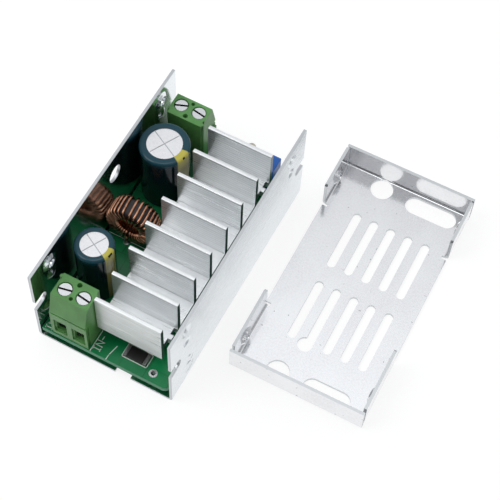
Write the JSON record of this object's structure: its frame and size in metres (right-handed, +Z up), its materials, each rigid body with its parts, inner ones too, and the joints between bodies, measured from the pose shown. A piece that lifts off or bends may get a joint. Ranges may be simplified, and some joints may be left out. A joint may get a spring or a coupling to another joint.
{
  "type": "boost converter module",
  "caption": "Open boost converter module in a folded sheet case, with comb heatsink, capacitors, toroidal coil, screw terminals and its slotted cover lying beside it.",
  "frame": {"origin": "centre of the case underside", "axes": "+X across the case towards the lying cover, +Y along the case from the input end to the output end, +Z up"},
  "size_m": [0.0815, 0.0833, 0.0295],
  "materials": {
    "case_sheet": "bright rolled sheet",
    "cover_sheet": "rolled sheet with fine scratches",
    "board_laminate": "glossy green coating",
    "spacer_plastic": "plain moulded",
    "plated_steel": "bright plating",
    "heatsink_aluminium": "drawn with fine ridges",
    "pad_silicone": "soft",
    "package_resin": "fine moulded grain",
    "tinned_metal": "tinned",
    "chip_ceramic": "fired",
    "resistor_coat": "glazed",
    "core_powder_iron": "coated powder iron",
    "copper_wire": "enamelled copper",
    "trimmer_plastic": "moulded blue",
    "trimmer_brass": "turned",
    "can_aluminium": "satin",
    "cap_sleeve_film": "shrunk film",
    "cap_rubber": "matt",
    "terminal_plastic": "moulded green"
  },
  "bodies": {
    "module": {"case_base": "case_sheet", "top_cover": "cover_sheet", "circuit_board": "board_laminate", "spacers": "spacer_plastic", "case_screws": "plated_steel", "heatsink": "heatsink_aluminium", "thermal_pads": "pad_silicone", "mosfet": "package_resin", "rectifier_diode": "package_resin", "power_tabs": "tinned_metal", "controller_chip": "package_resin", "controller_leads": "tinned_metal", "chip_capacitors": "chip_ceramic", "chip_resistors": "resistor_coat", "chip_ends": "tinned_metal", "shunt_body": "resistor_coat", "shunt_ends": "tinned_metal", "inductor_core": "core_powder_iron", "inductor_winding": "copper_wire", "trimmer_body": "trimmer_plastic", "trimmer_pins": "tinned_metal", "solder_joints": "tinned_metal", "test_eyelet": "tinned_metal", "input_cap_can": "can_aluminium", "input_cap_sleeve": "cap_sleeve_film", "input_cap_seal": "cap_rubber", "input_cap_leads": "tinned_metal", "input_terminal": "terminal_plastic", "input_contacts": "tinned_metal", "output_cap_can": "can_aluminium", "output_cap_sleeve": "cap_sleeve_film", "output_cap_seal": "cap_rubber", "output_cap_leads": "tinned_metal", "output_terminal": "terminal_plastic", "output_contacts": "tinned_metal"},
    "input_screw_1_body": {"input_screw_1": "plated_steel"},
    "input_cage_1_body": {"input_cage_1": "plated_steel"},
    "input_screw_2_body": {"input_screw_2": "plated_steel"},
    "input_cage_2_body": {"input_cage_2": "plated_steel"},
    "output_screw_1_body": {"output_screw_1": "plated_steel"},
    "output_cage_1_body": {"output_cage_1": "plated_steel"},
    "output_screw_2_body": {"output_screw_2": "plated_steel"},
    "output_cage_2_body": {"output_cage_2": "plated_steel"},
    "trimmer_screw_body": {"trimmer_screw": "trimmer_brass"}
  },
  "joints": [
    {"name": "input_screw_1_turn", "type": "hinge", "parent": "module", "child": "input_screw_1_body", "pos_m": [-0.01226, -0.0294, 0.0214], "axis": [0, 0, -1], "range_deg": [0, 3960]},
    {"name": "input_cage_1_lift", "type": "slide", "parent": "module", "child": "input_cage_1_body", "axis": [0, 0, 1], "range_m": [0, 0.00495]},
    {"name": "input_screw_2_turn", "type": "hinge", "parent": "module", "child": "input_screw_2_body", "pos_m": [-0.00718, -0.0294, 0.0214], "axis": [0, 0, -1], "range_deg": [0, 3960]},
    {"name": "input_cage_2_lift", "type": "slide", "parent": "module", "child": "input_cage_2_body", "axis": [0, 0, 1], "range_m": [0, 0.00495]},
    {"name": "output_screw_1_turn", "type": "hinge", "parent": "module", "child": "output_screw_1_body", "pos_m": [-0.00908, 0.0298, 0.0214], "axis": [0, 0, -1], "range_deg": [0, 3960]},
    {"name": "output_cage_1_lift", "type": "slide", "parent": "module", "child": "output_cage_1_body", "axis": [0, 0, 1], "range_m": [0, 0.00495]},
    {"name": "output_screw_2_turn", "type": "hinge", "parent": "module", "child": "output_screw_2_body", "pos_m": [-0.01416, 0.0298, 0.0214], "axis": [0, 0, -1], "range_deg": [0, 3960]},
    {"name": "output_cage_2_lift", "type": "slide", "parent": "module", "child": "output_cage_2_body", "axis": [0, 0, 1], "range_m": [0, 0.00495]},
    {"name": "trimmer_screw_turn", "type": "hinge", "parent": "module", "child": "trimmer_screw_body", "pos_m": [0.00572, 0.0308, 0.0145], "axis": [0, 0, -1], "continuous": true}
  ],
  "couplings": [
    {"joint": "input_screw_1_turn", "follows": "input_cage_1_lift", "rad_per_m": 13963},
    {"joint": "input_screw_2_turn", "follows": "input_cage_2_lift", "rad_per_m": 13963},
    {"joint": "output_screw_1_turn", "follows": "output_cage_1_lift", "rad_per_m": 13963},
    {"joint": "output_screw_2_turn", "follows": "output_cage_2_lift", "rad_per_m": 13963}
  ]
}
